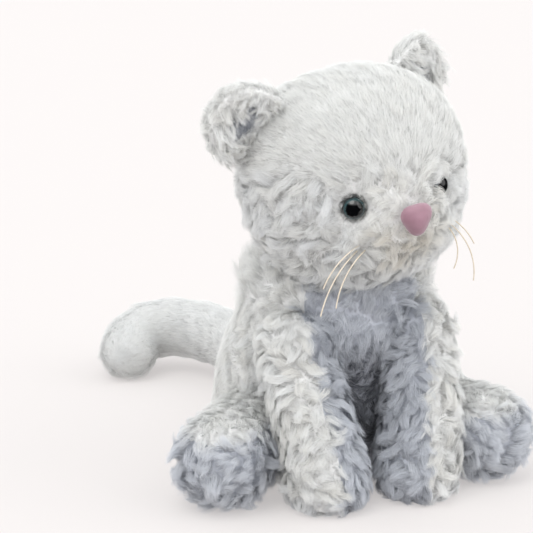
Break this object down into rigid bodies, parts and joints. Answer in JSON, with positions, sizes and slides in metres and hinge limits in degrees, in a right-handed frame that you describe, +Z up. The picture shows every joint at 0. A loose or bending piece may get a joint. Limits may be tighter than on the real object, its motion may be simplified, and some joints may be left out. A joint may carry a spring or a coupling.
{
  "type": "plush cat",
  "caption": "Seated plush kitten with long pile, loose sewn legs, a turning head, cupped ears, plastic eyes, a padded nose and a curled tail.",
  "frame": {"origin": "on the floor, under the middle of the seat", "axes": "+Z up, the cat faces -Y, +X is the cat's own left"},
  "size_m": [0.2088, 0.3369, 0.2521],
  "materials": {
    "white_plush": "long silky pile, brushed into soft waves",
    "grey_plush": "long curly pile, cool grey with lighter tips",
    "filling": "loose polyester fibre",
    "eye_colour": "polished, dark teal",
    "eye_black": "polished",
    "washer_plastic": "as moulded",
    "nose_satin": "fine satin cloth",
    "thread": "waxed",
    "bristle": "fine bristle"
  },
  "bodies": {
    "torso": {"torso_back_left": "white_plush", "torso_back_right": "white_plush", "torso_chest": "grey_plush", "torso_stuffing": "filling"},
    "neck": {"neck_stitches": "thread"},
    "head": {"head_side_left": "white_plush", "head_side_right": "white_plush", "head_gusset": "white_plush", "head_chin": "white_plush", "head_stuffing": "filling", "eye_dome_left": "eye_colour", "eye_dome_right": "eye_colour", "eye_post_left": "eye_black", "eye_post_right": "eye_black", "eye_washer_left": "washer_plastic", "eye_washer_right": "washer_plastic", "nose_cover": "nose_satin", "nose_stuffing": "filling", "whiskers_left": "bristle", "whiskers_right": "bristle"},
    "ear_left": {"ear_left_back": "white_plush", "ear_left_front": "grey_plush"},
    "ear_right": {"ear_right_back": "white_plush", "ear_right_front": "grey_plush"},
    "front_leg_left": {"front_leg_left_outer": "white_plush", "front_leg_left_inner": "grey_plush", "front_leg_left_stuffing": "filling"},
    "front_leg_right": {"front_leg_right_outer": "white_plush", "front_leg_right_inner": "grey_plush", "front_leg_right_stuffing": "filling"},
    "hind_leg_left": {"hind_leg_left_cover": "white_plush", "hind_leg_left_foot": "grey_plush", "hind_leg_left_stuffing": "filling"},
    "hind_leg_right": {"hind_leg_right_cover": "white_plush", "hind_leg_right_foot": "grey_plush", "hind_leg_right_stuffing": "filling"},
    "tail": {"tail_top": "white_plush", "tail_under": "white_plush", "tail_stuffing": "filling"}
  },
  "joints": [
    {"name": "head_nod", "type": "hinge", "parent": "torso", "child": "neck", "pos_m": [0, 0.002, 0.086], "axis": [1, 0, 0], "range_deg": [-6, 6], "stiffness_Nm_per_rad": 1.5},
    {"name": "head_turn", "type": "hinge", "parent": "neck", "child": "head", "pos_m": [0, 0.002, 0.086], "axis": [0.0108, -0.2804, 0.9598], "range_deg": [-55, 35], "stiffness_Nm_per_rad": 0.6},
    {"name": "ear_left_fold", "type": "hinge", "parent": "head", "child": "ear_left", "pos_m": [0.0439, -0.00413, 0.2235], "axis": [0.6026, 0.3935, -0.6942], "range_deg": [-18, 18], "stiffness_Nm_per_rad": 0.03},
    {"name": "ear_right_fold", "type": "hinge", "parent": "head", "child": "ear_right", "pos_m": [-0.05677, -0.03696, 0.20921], "axis": [0.5338, -0.2375, 0.8116], "range_deg": [-18, 18], "stiffness_Nm_per_rad": 0.03},
    {"name": "front_leg_left_swing", "type": "hinge", "parent": "torso", "child": "front_leg_left", "pos_m": [0.0355, -0.036, 0.086], "axis": [-1, 0, 0], "range_deg": [0, 60], "stiffness_Nm_per_rad": 0.08},
    {"name": "front_leg_right_swing", "type": "hinge", "parent": "torso", "child": "front_leg_right", "pos_m": [-0.0355, -0.036, 0.086], "axis": [-1, 0, 0], "range_deg": [0, 60], "stiffness_Nm_per_rad": 0.08},
    {"name": "hind_leg_left_splay", "type": "hinge", "parent": "torso", "child": "hind_leg_left", "pos_m": [0.044, -0.002, 0.033], "axis": [0, 0, 1], "range_deg": [0, 30], "stiffness_Nm_per_rad": 0.12},
    {"name": "hind_leg_right_splay", "type": "hinge", "parent": "torso", "child": "hind_leg_right", "pos_m": [-0.044, -0.002, 0.033], "axis": [0, 0, -1], "range_deg": [0, 30], "stiffness_Nm_per_rad": 0.12},
    {"name": "tail_swing", "type": "hinge", "parent": "torso", "child": "tail", "pos_m": [0, 0.07, 0.044], "axis": [0, 0, 1], "range_deg": [-35, 35], "stiffness_Nm_per_rad": 0.05}
  ]
}
